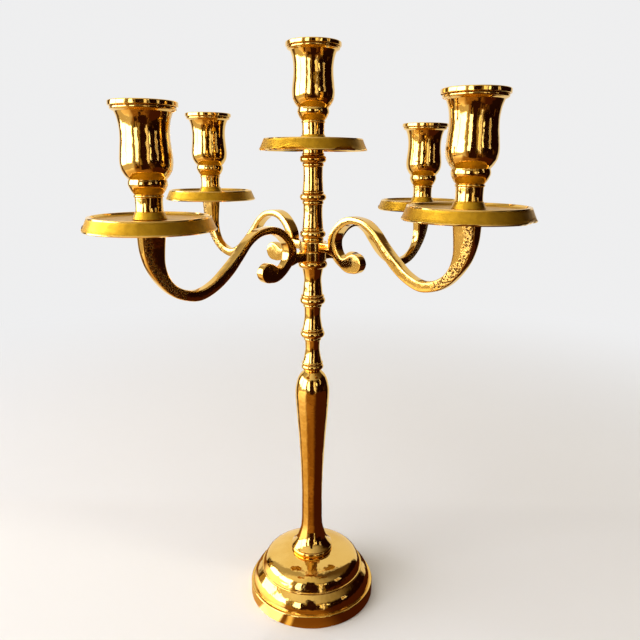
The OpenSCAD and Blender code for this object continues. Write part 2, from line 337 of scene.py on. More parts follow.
def cast_brass(nodes, position, radius, height):
    """Cast brass, hand polished: softer ripples than turned work, and a band of casting pits left on
    the flanks of the horns."""
    tone, dirt, speckle = brass_tone(nodes, position)
    # A flank faces across the line from the column to the point
    axis = nodes.add("ShaderNodeVectorMath", {0: position, 1: (0, 0, 1)}, operation="CROSS_PRODUCT")
    across = nodes.add("ShaderNodeVectorMath", {0: axis.outputs[0]}, operation="NORMALIZE").outputs[0]
    facing = nodes.add("ShaderNodeTexCoord").outputs["Normal"]
    flank = nodes.math("ABSOLUTE", nodes.add("ShaderNodeVectorMath", {0: across, 1: facing},
                                             operation="DOT_PRODUCT").outputs["Value"])
    # On the upright part of the horn the band starts at PIT_INNER, and it spreads inwards below that
    below = nodes.math("MAXIMUM", nodes.math("SUBTRACT", PIT_BEND_H, height), 0.0)
    start = nodes.math("MULTIPLY_ADD", nodes.math("MULTIPLY", below, below), -0.028, PIT_INNER)
    wander = nodes.math("MULTIPLY_ADD", nodes.noise(position, 0.15, 3), 5.0, radius)
    past = nodes.math("SUBTRACT", wander, start)
    band = nodes.math("MULTIPLY", nodes.step(past, 0.0, 2.5), nodes.between(wander, PIT_FROM, PIT_TO, 2.0))
    band = nodes.math("MULTIPLY", band, nodes.step(flank, 0.7, 0.95))
    pits = nodes.add("ShaderNodeTexVoronoi", {"Vector": position, "Scale": 0.75, "Randomness": 1.0})
    pit = nodes.math("MULTIPLY", nodes.step(pits.outputs[0], 0.58, 0.38),
                     nodes.step(nodes.noise(position, 0.5, 4), 0.34, 0.46))
    pit = nodes.math("MULTIPLY", pit, band)
    ripple = nodes.noise(position, 0.09, 3)
    normal = nodes.bump(ripple, 0.3)
    normal = nodes.bump(speckle, 0.005, normal)
    normal = nodes.bump(nodes.math("SUBTRACT", 1.0, pit), 0.2, normal)
    smudge = nodes.step(nodes.noise(position, 0.14, 5, 0.62), 0.5, 0.72)
    roughness = nodes.math("MULTIPLY_ADD", smudge, 0.1, 0.1)
    roughness = nodes.math("MULTIPLY_ADD", nodes.math("MAXIMUM", dirt, band), 0.16, roughness)
    tone = nodes.mix(nodes.math("MULTIPLY", pit, 0.95), tone, TARNISH)
    return {"Base Color": tone, "Metallic": 1.0, "Roughness": roughness, "Normal": normal}


def satin_brass(nodes, position, radius, height):
    """Drip pan: a brushed, unlacquered skirt between polished lip and lower edge, and a wiped floor."""
    tone, dirt, speckle = brass_tone(nodes, position)
    skirt = nodes.math("MULTIPLY", nodes.step(radius, PAN_TOP_R - 0.5, PAN_TOP_R - 0.1),
                       nodes.between(height, PAN_LOW + 1.1, PAN_HIGH - 0.9, 0.25))
    floor = nodes.step(height, PAN_HIGH - 0.8, PAN_HIGH - 1.6)
    floor = nodes.math("MULTIPLY", floor, nodes.step(radius, PAN_TOP_R - 0.9, PAN_TOP_R - 1.6))
    dull = nodes.math("MAXIMUM", skirt, floor)
    lines = nodes.noise(nodes.vector(radius, 0.0, height), 6.0, 4, 0.7)
    patches = nodes.noise(position, 0.2, 5, 0.6)
    olive = nodes.mix(nodes.step(patches, 0.35, 0.65), OLIVE, OLIVE_DEEP)
    tone = nodes.mix(dull, tone, olive)
    ripple = nodes.noise(position, 0.1, 2)
    normal = nodes.bump(ripple, 0.25)
    normal = nodes.bump(nodes.math("MULTIPLY", lines, nodes.math("MULTIPLY_ADD", dull, 0.9, 0.1)), 0.02,
                        normal)
    satin = nodes.math("MULTIPLY_ADD", patches, 0.12, 0.36)
    roughness = nodes.blend(dull, nodes.math("MULTIPLY_ADD", speckle, 0.08, 0.08), satin)
    roughness = nodes.math("MULTIPLY_ADD", dirt, 0.2, roughness)
    return {"Base Color": tone, "Metallic": 1.0, "Roughness": roughness, "Normal": normal}


def plated_steel(nodes, position, radius, height):
    """Zinc-plated steel with fine machining lines and dull patches."""
    patches = nodes.noise(position, 0.5, 4)
    tone = nodes.mix(nodes.step(patches, 0.35, 0.65), (0.55, 0.56, 0.58, 1), (0.40, 0.39, 0.36, 1))
    lines = nodes.noise(nodes.vector(radius, 0.0, height), 12.0, 3)
    return {"Base Color": tone, "Metallic": 1.0, "Normal": nodes.bump(lines, 0.02),
            "Roughness": nodes.math("MULTIPLY_ADD", patches, 0.2, 0.22)}


def green_felt(nodes, position, radius, height):
    """Pressed wool felt: matted fibres and a thin sheen of loose ones."""
    fibres = nodes.noise(position, 3.0, 8, 0.75)
    mats = nodes.noise(position, 0.25, 4)
    tone = nodes.mix(nodes.step(fibres, 0.3, 0.7), (0.012, 0.045, 0.024, 1), (0.035, 0.105, 0.06, 1))
    tone = nodes.mix(nodes.step(mats, 0.45, 0.75), tone, (0.02, 0.06, 0.04, 1))
    return {"Base Color": tone, "Roughness": 0.95, "Sheen Weight": 0.6, "Sheen Roughness": 0.4,
            "Normal": nodes.bump(fibres, 0.35)}


def finish(piece, body, node, look):
    """Gives a new piece its material and body, and hides the CAD node that it replaces."""
    piece.data.materials.clear()
    piece.data.materials.append(look)
    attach(piece, body)
    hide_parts(node)


# ---- Sizes, from the frame ----

base_high = box_mm("base")[1]
stem_high = box_mm("stem")[1]
spindle_low, spindle_high = box_mm("upper_spindle")
pan_low, pan_high = box_mm("drip_pan_centre")
cup_low, cup_high = box_mm("candle_cup_centre")
stud_low, stud_high = box_mm("cup_stud_centre")
pad_high = box_mm("base_pad")[1]
rod_high = box_mm("tie_rod")[1]

PLAY = 0.05
BASE_R = base_high.x
BASE_TOP = base_high.z
FOOT_R = stem_high.x
STEM_TOP = stem_high.z
SPINDLE_Z = spindle_low.z
CENTRE_SEAT = spindle_high.z
ROD_BORE = rod_high.x + PLAY
STUD_R = stud_high.x
STUD_BORE = STUD_R + PLAY
PAN_R = pan_high.x
SKIRT_W = 3.4
PAN_TOP_R = PAN_R - SKIRT_W
PAN_LOW = pan_low.z - CENTRE_SEAT
PAN_HIGH = pan_high.z - CENTRE_SEAT
PAN_FLOOR = cup_low.z - CENTRE_SEAT
RIM_R = (cup_high.x - cup_low.x) / 2
CUP_H = cup_high.z - cup_low.z
HUB_Z = box_mm("lower_spindle")[1].z
RING_H = (SPINDLE_Z - HUB_Z) / 2
RING_R = 10.0
STUD_DEPTH = CENTRE_SEAT - stud_low.z + 0.5
SOCKET_R = 11.1
SOCKET_DEPTH = 25
# Height of the cup's satin foot
FOOT_H = 4.4
# The pitted band of the horns: its ends and its inner edge on the upright part of the horn, as
# distances from the column, and the height below which it spreads inwards
PIT_FROM = 112.0
PIT_TO = 141.0
PIT_INNER = 132.0
PIT_BEND_H = 20.0


def light_origin(place):
    """The seat of a light, where its pan rests, in millimetres."""
    low, high = box_mm("drip_pan_" + place)
    return Vector(((low.x + high.x) / 2, (low.y + high.y) / 2, low.z - PAN_LOW))


# ---- Base ----

def build_base(look):
    """The hollow base: a band with a lip, a leaning tier with a lip, and a low dome."""
    band_h, shoulder_z, shoulder_r, groove = 10.2, 24.4, 41.6, 2.2
    wall, boss_r, boss_z = 3, 9, 10
    pad_r, pad_h = pad_high.x, pad_high.z
    tier_h, dome_h = shoulder_z - band_h, BASE_TOP - shoulder_z
    lower_tier = [(BASE_R - groove, band_h + 0.3), (BASE_R - groove - 0.8, band_h + tier_h * 0.27),
                  (BASE_R - groove - 2.8, band_h + tier_h * 0.58), (shoulder_r - 0.1, shoulder_z - 1.4)]
    dome = [(shoulder_r - 1.1, shoulder_z), (shoulder_r - 2.2, shoulder_z + dome_h * 0.21),
            (shoulder_r - 3.7, shoulder_z + dome_h * 0.44), (shoulder_r - 6.4, shoulder_z + dome_h * 0.64),
            (shoulder_r - 10.6, shoulder_z + dome_h * 0.79), (shoulder_r - 15.6, shoulder_z + dome_h * 0.9),
            (shoulder_r - 21, shoulder_z + dome_h * 0.97), (FOOT_R - 1.2, BASE_TOP)]
    outside = softened(
        [(pad_r + 0.1, 0), (BASE_R - 0.6, 0), (BASE_R, 0.6), (BASE_R, band_h - 0.9)]
        + ellipse_arc(BASE_R - 0.8, band_h - 0.5, 0.8, 0.9, 0, 100, 12)
        + smooth(lower_tier, 12) + bulge(shoulder_z - 0.6, shoulder_r, 0.6, 0.6)
        + smooth(dome, 12) + [(ROD_BORE, BASE_TOP)], 0.3)
    inset = wall * 0.8
    outer = lower_tier[:3] + [(shoulder_r, shoulder_z - 1.4)] + dome
    hollow = [(r - inset, z - inset) for r, z in outer]
    inside = ([(ROD_BORE, boss_z), (boss_r, boss_z), (boss_r, BASE_TOP - inset)] + smooth(hollow[::-1], 6)
              + [(hollow[0][0], pad_h), (pad_r + 0.1, pad_h)])
    piece = lathe("brass_base", outside + inside, closed=True, segments=240)
    finish(piece, "column", "base", look)


def build_pad(look):
    """Felt disc with soft edges and a slightly uneven underside."""
    r, h = pad_high.x, pad_high.z

    def matted(radius, z, angle, i):
        if z > h / 2:
            return radius, z
        wave = noise.noise(Vector((radius * math.cos(angle), radius * math.sin(angle), 0)) * 0.25)
        return radius, z + 0.12 * abs(wave)

    rings = [(0.0, 0.02)] + [(r * k / 24, 0.0) for k in range(1, 24)]
    edge = ellipse_arc(r - 0.7, 0.7, 0.7, 0.7, -90, 0, 6)
    outline = rings + edge + [(r, h - 0.3), (r - 0.3, h), (0.0, h)]
    piece = lathe("felt_pad", outline, shape=matted)
    finish(piece, "column", "base_pad", look)


# ---- Column ----

def build_stem(look):
    """A torus, a groove and a bell at the foot, then a slim shank that swells to a shouldered belly."""
    slim, belly = 8.1, 13.25
    foot_z = BASE_TOP + 3.7
    h = STEM_TOP - foot_z
    foot = ([(ROD_BORE, BASE_TOP)] + bulge(BASE_TOP + 1.7, FOOT_R, 1.7, 1.3)
            + [(FOOT_R - 1.5, foot_z - 0.1), (FOOT_R - 0.9, foot_z + 0.1)])
    shank = smooth([(FOOT_R - 0.3, foot_z + 0.6), (FOOT_R * 0.88, foot_z + 2.4),
                    (FOOT_R * 0.73, foot_z + 5.8), (FOOT_R * 0.61, foot_z + 11),
                    (slim * 1.06, foot_z + 18), (slim, foot_z + h * 0.2),
                    (slim * 1.04, foot_z + h * 0.37), (slim * 1.27, foot_z + h * 0.6),
                    (belly * 0.93, foot_z + h * 0.77), (belly, foot_z + h * 0.875),
                    (belly * 0.93, foot_z + h * 0.93), (belly * 0.77, foot_z + h * 0.97),
                    (slim * 0.76, STEM_TOP)], 12)
    piece = lathe("brass_stem", softened(foot + shank, 0.15) + [(ROD_BORE, STEM_TOP)], closed=True)
    finish(piece, "column", "stem", look)


def build_spindles(look):
    """Two turned spindles of three beads each, below and above the rings of the arms."""
    bead = 9.5
    pitch, collar_h = (HUB_Z - STEM_TOP) * 0.307, 2.6
    z1, z2, z3 = (STEM_TOP + 2.9 + pitch * i for i in range(3))
    lower = ([(ROD_BORE, STEM_TOP), (bead - 3.4, STEM_TOP)] + bulge(z1, bead - 1, 2.2, 1.7)
             + bulge(z1 + 3, bead - 1.4, 0.7, 0.5)
             + waist(z1 + 4.3, bead - 2.3, z2 - 5, bead - 3.7, bead - 4)
             + knot(z2, bead - 0.3, bead - 2.9, bead - 1.1)
             + waist(z2 + 4.7, bead - 2, z3 - 5, bead - 3.2, bead - 3.4)
             + knot(z3, bead, bead - 2.4, bead - 0.8)
             + waist(z3 + 4.7, bead - 2, HUB_Z - 2 * collar_h - 0.2, bead - 1.6, bead - 3)
             + bulge(HUB_Z - collar_h, bead + 1.2, collar_h, 2.1) + [(ROD_BORE, HUB_Z)])
    piece = lathe("brass_lower_spindle", softened(lower, 0.12, closed=True), closed=True)
    finish(piece, "column", "lower_spindle", look)

    pitch = (CENTRE_SEAT - SPINDLE_Z) * 0.391
    z1, z2, z3 = (SPINDLE_Z + 5.2 + pitch * i for i in range(3))
    rod_hole, stud_hole = rod_high.z + 0.5, stud_low.z - 0.5
    upper = ([(0, rod_hole), (ROD_BORE, rod_hole), (ROD_BORE, SPINDLE_Z), (bead - 2, SPINDLE_Z)]
             + knot(z1, bead - 0.2, bead - 1.7, bead - 1.6)
             + waist(z1 + 4.7, bead - 2, z2 - 5.3, bead - 2.5, bead - 2.6)
             + knot(z2, bead, bead - 1.8, bead - 1.6)
             + waist(z2 + 4.7, bead - 2.1, z3 - 5.3, bead - 2.5, bead - 2.6)
             + knot(z3, bead - 0.1, bead - 1.8, bead - 1.5)
             + [(bead - 1.8, CENTRE_SEAT), (STUD_BORE, CENTRE_SEAT), (STUD_BORE, stud_hole), (0, stud_hole)])
    piece = lathe("brass_upper_spindle", softened(upper, 0.12))
    finish(piece, "column", "upper_spindle", look)


# ---- Arms ----

VOLUTE = Vector((42.9, -4.4))
VOLUTE_R = 6.9


def arm_stations(reach, rise):
    """Stations along the scroll, from the curl to the horn: [inner r, inner h, outer r, outer h,
    half thickness, edge radius], heights above the underside of the arm's ring."""
    disc = []
    for angle in (6, 20, 38, 58, 80):
        t = math.radians(angle)
        along, side = VOLUTE_R * math.cos(t), VOLUTE_R * math.sin(t)
        disc.append([VOLUTE.x + along, VOLUTE.y + side, VOLUTE.x + along, VOLUTE.y - side, 3.1, 0.9])
    curl = [[41.0, 2.1, 41.2, -11.4, 3.1, 0.9], [38.2, 1.0, 38.3, -11.5, 3.1, 0.9],
            [35.4, -0.7, 35.0, -10.8, 3.1, 0.9], [33.0, -1.4, 31.6, -9.1, 3.2, 0.9],
            [30.6, 0.0, 27.4, -5.9, 3.3, 0.9], [28.6, 2.3, 23.4, -1.6, 3.5, 0.9],
            [27.2, 5.0, 20.4, 1.9, 3.7, 0.9], [26.6, 7.7, 19.0, 6.2, 3.9, 0.9],
            [26.7, 10.5, 19.1, 10.7, 4.0, 0.9], [27.7, 14.1, 21.5, 15.7, 4.1, 0.9]]
    arch = [[30.3, 17.2, 25.1, 20.1, 4.1, 0.9], [33.6, 19.9, 29.7, 24.1, 4.1, 0.9],
            [38.0, 21.9, 35.3, 26.6, 4.1, 0.9], [43.5, 22.5, 42.4, 27.4, 4.1, 0.9],
            [50.8, 21.2, 53.2, 25.3, 4.0, 0.9], [58.4, 16.3, 62.0, 19.5, 3.9, 0.9]]
    sweep = [[reach - 63.7, 8.0, reach - 59.7, 11.8, 3.8, 1.0],
             [reach - 54.7, -1.9, reach - 50.4, 3.4, 3.6, 1.0],
             [reach - 43.3, -10.4, reach - 40.4, -4.2, 3.3, 1.0],
             [reach - 30.7, -15.1, reach - 30.4, -8.1, 3.0, 1.0],
             [reach - 18.4, -13.2, reach - 21.1, -7.1, 2.9, 1.1]]
    horn = [[reach - 9.3, -8.4, reach - 13.7, -3.1, 3.0, 1.2],
            [reach - 1.7, -0.7, reach - 9.2, 2.9, 3.2, 1.4],
            [reach + 3.8, 8.0, reach - 7.1, 10.7, 3.5, 1.7],
            [reach + 7.0, 18.0, reach - 7.3, 19.1, 4.0, 2.2],
            [reach + 7.8, rise - 7, reach - 8.1, rise - 7, 4.8, 3.0],
            [reach + 7.9, rise, reach - 8.3, rise, 5.4, 3.6]]
    return smooth(disc + curl + arch + sweep + horn, 6)


def arm_section(station):
    """A rounded rectangle across the scroll, slightly crowned on its flanks and edges."""
    ri, hi, ro, ho, half_t, edge = station
    inner, outer = Vector((ri, 0, hi)), Vector((ro, 0, ho))
    middle, half_w = (inner + outer) / 2, (outer - inner).length / 2
    along = (outer - inner) / (2 * half_w)
    edge = min(edge, half_w * 0.9, half_t * 0.9)
    crown = 0.12
    points = []
    for u, v in ((1, 1), (-1, 1), (-1, -1), (1, -1)):
        first_u = u * v > 0
        for j in range(7):
            t = math.radians(15 * j)
            du, dv = (math.cos(t), math.sin(t)) if first_u else (math.sin(t), math.cos(t))
            points.append((u * (half_w - edge + edge * du), v * (half_t - edge + edge * dv)))
        # The crown of the next face, between two points that keep it flat
        if first_u:
            points += [(u * (half_w - edge) * k, v * (half_t + crown * (1 - k * k)))
                       for k in (0.9, 0.5, 0, -0.5, -0.9)]
        else:
            points += [(u * (half_w + crown * (1 - k * k)), v * (half_t - edge) * k)
                       for k in (0.85, 0, -0.85)]
    return [tuple(middle + along * a + Vector((0, b, 0))) for a, b in points]


def arm_lug():
    """The short neck that joins the ring to the back of the scroll."""
    sections = []
    for r, low, high, half_t in ((8.5, 0.25, 6.95, 3.3), (11.5, 0.25, 6.95, 3.1), (14.5, 0.25, 6.9, 2.9),
                                 (17.5, 0.1, 7.1, 3.0), (20, -0.7, 7.7, 3.2), (22.3, -1.4, 8.2, 3.2),
                                 (24.5, -1.2, 8.2, 3.0)):
        sections.append(arm_section([r, low, r, high, half_t, 0.8]))
    return loft("lug", sections)


def cylinder(name, radius, low, high, x=0.0):
    """A closed cylinder to cut a hole with."""
    return lathe(name, [(0, low), (radius, low), (radius, high), (0, high)], origin=(x, 0, 0), segments=64)


def build_arm_pair(name, node, body, light, low, look):
    """A ring at height low with two opposite scrolls, the first under the given light."""
    seat = light_origin(light)
    reach, rise = seat.xy.length, seat.z - low
    lip = 0.5
    pair = lathe(name, softened([(0, 0), (RING_R - lip, 0), (RING_R, lip), (RING_R, RING_H - lip),
                                 (RING_R - lip, RING_H), (0, RING_H)], 0.3))
    half_turn = Matrix.Rotation(math.pi, 4, "Z")
    joined, cutters = [], []
    for turned in (False, True):
        scroll = loft("scroll", [arm_section(s) for s in arm_stations(reach, rise)])
        lug = arm_lug()
        hole = cylinder("hole", STUD_BORE, rise - STUD_DEPTH, rise + 2, reach)
        for part in (scroll, lug, hole):
            if turned:
                part.matrix_world = half_turn @ part.matrix_world
        joined += [scroll, lug]
        cutters.append(hole)
    bpy.context.view_layer.update()
    combine(pair, joined, "UNION")
    cutters.append(cylinder("bore", ROD_BORE, -2, RING_H + 2))
    bpy.context.view_layer.update()
    combine(pair, cutters, "DIFFERENCE")
    pair.matrix_world = (Matrix.Translation((0, 0, low * MM))
                         @ Matrix.Rotation(math.atan2(seat.y, seat.x), 4, "Z"))
    finish(pair, body, node, look)


# ---- Lights ----

def build_stud(place, look):
    """A threaded stud, chamfered at both ends, with the fine thread that the cup rises by."""
    origin = light_origin(place)
    low, high = stud_low.z - CENTRE_SEAT, stud_high.z - CENTRE_SEAT
    pitch, depth, chamfer = 0.8, 0.4, 0.5
    steps = int((high - low) / pitch * 8)

    def thread(r, z, angle, i):
        phase = (z / pitch - angle / (2 * math.pi)) % 1.0
        groove = depth * (1 - abs(2 * phase - 1))
        end = max(0.0, chamfer - min(z - low, high - z))
        return (r, z) if r < STUD_R - depth else (r - max(groove, end), z)

    flank = [(STUD_R, low + (high - low) * k / steps) for k in range(steps + 1)]
    outline = [(0, low)] + flank + [(0, high)]
    piece = lathe("steel_stud_" + place, outline, origin, segments=48, shape=thread)
    finish(piece, "stud_" + place, "cup_stud_" + place, look)


def build_pan(place, look):
    """An inverted dish with a wax recess. Its lower edge was ground by hand, so it wavers."""
    origin = light_origin(place)
    seed = PLACES.index(place) * 7.3
    lip_w, wall = 1.5, 2.2
    low, top = PAN_LOW, PAN_HIGH
    ground = [(PAN_R - 1.9, low), (PAN_R - 0.5, low), (PAN_R, low + 0.5), (PAN_R - 0.25, low + 1.1)]
    skirt = [(PAN_R - SKIRT_W * k / 8, low + (top - 0.4 - low) * k / 8) for k in range(2, 8)]
    rim = PAN_TOP_R - lip_w
    lip = [(PAN_TOP_R + 0.2, top - 0.45), (PAN_TOP_R + 0.05, top - 0.15), (PAN_TOP_R - 0.3, top),
           (rim + 0.35, top), (rim, top - 0.12)]
    recess = smooth([(rim, top - 0.12), (rim - 0.5, PAN_FLOOR + 1.0), (rim - 1.2, PAN_FLOOR + 0.25),
                     (rim - 2.2, PAN_FLOOR)], 5)[1:]
    floor = [(rim - 2.8, PAN_FLOOR), (STUD_BORE + 8, PAN_FLOOR), (STUD_BORE, PAN_FLOOR), (STUD_BORE, 0)]
    under = [(PAN_TOP_R - wall - 1.6, 0), (PAN_TOP_R - wall - 0.3, -0.4), (PAN_R - wall - 0.4, low + 0.7)]
    outline = ground + skirt + lip + recess + floor + under
    # How far a full facet pulls in and lifts each point of the ground edge
    pull = [(2.2, 0.3), (2.2, 0.3), (0.9, 3.0), (0.9, 3.4)]

    def ground_edge(r, z, angle, i):
        if i >= len(ground):
            return r, z
        around = Vector((math.cos(angle), math.sin(angle), seed)) * 1.7
        facet = max(0.0, 1.7 * noise.noise(around) + 0.3 * noise.noise(around * 4))
        return r - pull[i][0] * facet, z + pull[i][1] * facet

    piece = lathe("brass_pan_" + place, outline, origin, closed=True, segments=240, shape=ground_edge)
    finish(piece, "pan_" + place, "drip_pan_" + place, look)


def build_cup(place, look):
    """A turned cup: foot, neck, bulb, flared bell and a two-ring rim round the candle socket."""
    origin = light_origin(place) + Vector((0, 0, PAN_FLOOR))
    hole = stud_high.z - CENTRE_SEAT - PAN_FLOOR + 0.5
    foot = [(0, hole), (STUD_BORE, hole), (STUD_BORE, 0), (9.5, 0), (9.9, 0.5), (8.3, FOOT_H), (7.9, FOOT_H)]
    neck = smooth([(8, FOOT_H + 0.3), (7.8, 7), (7.8, 9.4), (7.9, 12.2)])
    bulb = smooth([(8.3, 14.3), (9.6, 16), (10.9, 18.8), (11.1, 20.6), (10.7, 22.4)])
    bell = smooth([(11.1, 22.9), (12.6, 24.8), (14.2, 28), (14.8, 32.4), (14.4, 38), (13.8, 44),
                   (13.75, 49.5), (14.5, 54.8), (15.9, CUP_H - 5.6)])
    rings = ([(17.3, CUP_H - 4.9)] + bulge(CUP_H - 3.85, RIM_R - 1, 0.85, 0.6) + [(17.6, CUP_H - 2.9)]
             + [(RIM_R - 0.3, CUP_H - 2.8), (RIM_R, CUP_H - 2.5), (RIM_R, CUP_H - 0.4), (RIM_R - 0.4, CUP_H)])
    mouth = [(SOCKET_R + 3.2, CUP_H), (SOCKET_R + 1.4, CUP_H - 1), (SOCKET_R, CUP_H - 3.4),
             (SOCKET_R, CUP_H - SOCKET_DEPTH), (0, CUP_H - SOCKET_DEPTH - 3)]
    outline = foot + neck + bulge(13.2, 8.5, 0.7, 0.6) + bulb + bell + rings + mouth
    piece = lathe("brass_cup_" + place, softened(outline, 0.22), origin)
    finish(piece, "cup_" + place, "candle_cup_" + place, look)


# ---- Build ----

polished = material("polished_turned_brass", turned_brass)
cup_look = material("polished_cup_brass", cup_brass)
cast = material("polished_cast_brass", cast_brass)
satin = material("satin_pan_brass", satin_brass)
steel = material("plated_steel", plated_steel)
felt = material("green_felt", green_felt)

build_base(polished)
build_pad(felt)
build_stem(polished)
build_spindles(polished)
build_arm_pair("brass_lower_arms", "lower_arm_pair", "lower_arms", "back_right", HUB_Z, cast)
build_arm_pair("brass_upper_arms", "upper_arm_pair", "upper_arms", "back_left", HUB_Z + RING_H, cast)
for place in PLACES:
    build_stud(place, steel)
    build_pan(place, satin)
    build_cup(place, cup_look)
for node in ("base_washer", "base_nut", "tie_rod"):
    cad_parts[node].data.materials.clear()
    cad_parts[node].data.materials.append(steel)


# ---- Room ----

PLAIN = (0.86, 0.86, 0.865, 1)
# Bearings of the two ends of the panes, in degrees to the left of the camera's side
PANES_RIGHT, PANES_LEFT = 44.0, 108.0


def stage_mesh(name, vertices, faces, look):
    """A mesh of the stage, with vertices in metres."""
    mesh = bpy.data.meshes.new(name)
    mesh.from_pydata(vertices, [], faces)
    mesh.materials.append(look)
    thing = bpy.data.objects.new(name, mesh)
    bpy.context.scene.collection.objects.link(thing)
    return thing


def flat_floor(name, low, high, look):
    corners = [(low[0], low[1], 0), (high[0], low[1], 0), (high[0], high[1], 0), (low[0], high[1], 0)]
    return stage_mesh(name, corners, [(0, 1, 2, 3)], look)


def only_mirrored(thing):
    """Hides a thing from the camera and from diffuse light, so that only the brass shows it."""
    thing.visible_camera = False
    thing.visible_diffuse = False
    thing.visible_shadow = False


def emission(nodes, colour):
    return nodes.add("ShaderNodeEmission", {"Color": colour, "Strength": 1.0})


def bearing(nodes, x, y):
    """Degrees round the column: 0 towards the camera, 90 to the left, 180 behind, negative on the right."""
    return nodes.math("DEGREES", nodes.math("ARCTAN2", nodes.math("MULTIPLY", x, -1.0),
                                            nodes.math("MULTIPLY", y, -1.0)))


def window(nodes, side, rise, right, left, bottom, top, soft):
    """1 inside the given bearings and rises, 0 outside."""
    return nodes.math("MULTIPLY", nodes.between(side, right, left, soft),
                      nodes.between(rise, bottom, top, soft))


def plain_floor():
    """A wide pale floor that fades into the backdrop with distance. Mirror reflections don't see it."""
    paint, nodes, place = empty_material("pale_floor")
    tone = nodes.mix(nodes.noise(place, 3.0, 4), (0.76, 0.76, 0.755, 1), (0.80, 0.80, 0.795, 1))
    matt = nodes.add("ShaderNodeBsdfPrincipled", {"Base Color": tone, "Roughness": 0.7})
    distance = nodes.add("ShaderNodeVectorMath", {0: place}, operation="LENGTH").outputs["Value"]
    fade = nodes.step(distance, 0.25, 1.1)
    nodes.surface(nodes.add("ShaderNodeMixShader", {0: fade, 1: matt.outputs[0],
                                                    2: emission(nodes, PLAIN).outputs[0]}))
    flat_floor("floor", (-8, -8), (8, 8), paint).visible_glossy = False


def painted_table_reflection():
    """A painted reflection of the warm table top, a glowing card that only the brass sees: painted glare
    towards the panes on the left, brown in front and painted shade, almost black, on the right."""
    wood, nodes, place = empty_material("painted_table_reflection")
    x, y = nodes.add("ShaderNodeSeparateXYZ", {0: place}).outputs[:2]
    incoming = nodes.add("ShaderNodeNewGeometry").outputs["Incoming"]
    down = nodes.add("ShaderNodeSeparateXYZ", {0: incoming}).outputs[2]
    along = nodes.vector(nodes.math("MULTIPLY", x, 2.0), nodes.math("MULTIPLY", y, 22.0), 0.0)
    streaks = nodes.noise(along, 1.0, 4)
    brown = nodes.mix(nodes.step(streaks, 0.35, 0.65), (0.20, 0.075, 0.012, 1), (0.42, 0.19, 0.04, 1))
    side = bearing(nodes, x, y)
    # Painted shade: the wood goes almost black on the right
    brown = nodes.mix(nodes.step(side, -4.0, -34.0), brown, (0.055, 0.012, 0.003, 1))
    # Painted glare of the panes, white where the brass mirrors the wood at a grazing angle
    glare = nodes.between(side, PANES_RIGHT, PANES_LEFT, 9.0)
    grazing = nodes.step(down, 0.62, 0.06)
    white = nodes.mix(grazing, (0.80, 0.50, 0.20, 1), (2.4, 2.1, 1.6, 1))
    colour = nodes.mix(glare, brown, white)
    # Painted glare of the panes in the wood beside the base, which throws no light back on the floor
    near = nodes.step(nodes.add("ShaderNodeVectorMath", {0: place}, operation="LENGTH").outputs["Value"],
                      0.10, 0.075)
    bounces = nodes.add("ShaderNodeLightPath").outputs["Diffuse Depth"]
    near = nodes.math("MULTIPLY", near, nodes.math("LESS_THAN", bounces, 0.5))
    for right, left, tone in ((29.5, 56.0, (2.4, 2.1, 2.0, 1)), (17.5, 23.0, (1.2, 0.85, 0.40, 1))):
        share = nodes.math("MULTIPLY", near, nodes.between(side, right, left, 2.0))
        colour = nodes.mix(share, colour, tone)
    nodes.surface(emission(nodes, colour))
    only_mirrored(flat_floor("painted_table_reflection", (-0.9, -0.75), (0.9, 0.126), wood))


def mirrored_walls():
    """The panes on the left, a narrow pane beside them and a few lamps, at a wall's distance. What lies
    between them is clear."""
    distance, eye = 2.6, 0.38
    # Two panes side by side, in degrees, from a sill below eye level
    sill, pane_w, pane_h = -8.0, 32.0, 35.0
    paint, nodes, place = empty_material("panes_and_lamps")
    x, y, z = nodes.add("ShaderNodeSeparateXYZ", {0: place}).outputs
    side = bearing(nodes, x, y)
    rise = nodes.math("DEGREES", nodes.math("ARCTAN2", nodes.math("SUBTRACT", z, eye), distance))
    panes = window(nodes, side, rise, PANES_RIGHT, PANES_LEFT, sill, sill + pane_h, 1.5)
    bars = nodes.math("PINGPONG", nodes.math("SUBTRACT", side, PANES_RIGHT), pane_w / 2)
    rails = nodes.math("PINGPONG", nodes.math("SUBTRACT", rise, sill), pane_h / 2)
    share = nodes.math("MULTIPLY", panes, nodes.math("MULTIPLY", nodes.step(bars, 0.8, 1.6),
                                                     nodes.step(rails, 0.5, 1.1)))
    colour = (6.5, 6.5, 7.2, 1)
    for left, right, bottom, top, tone in ((31, 18, -5, 22, (4.0, 3.9, 4.2, 1)),
                                           (-13, -19, -4, 16, (1.5, 1.25, 0.6, 1)),
                                           (-22, -24, -12, 18, (0.9, 0.65, 0.2, 1)),
                                           (-31, -35, 4, 12, (2.4, 2.2, 1.7, 1)),
                                           (-60, -68, 3, 22, (0.45, 0.28, 0.08, 1))):
        lamp = window(nodes, side, rise, right, left, bottom, top, 1.0)
        colour = nodes.mix(lamp, colour, tone)
        share = nodes.math("MAXIMUM", share, lamp)
    clear = nodes.add("ShaderNodeBsdfTransparent")
    nodes.surface(nodes.add("ShaderNodeMixShader", {0: share, 1: clear.outputs[0],
                                                    2: emission(nodes, colour).outputs[0]}))
    # The wall runs from 75 degrees on the right to 115 on the left, 16 below eye level to 36 above it
    low, high = (eye + distance * math.tan(math.radians(degrees)) for degrees in (-16, 36))
    steps = 63
    vertices, faces = [], []
    for k in range(steps + 1):
        angle = math.radians(-75 + 190 * k / steps)
        for height in (low, high):
            vertices.append((-distance * math.sin(angle), -distance * math.cos(angle), height))
        if k:
            faces.append((2 * k - 2, 2 * k, 2 * k + 1, 2 * k - 1))
    stage_mesh("panes_and_lamps", vertices, faces, paint).visible_camera = False


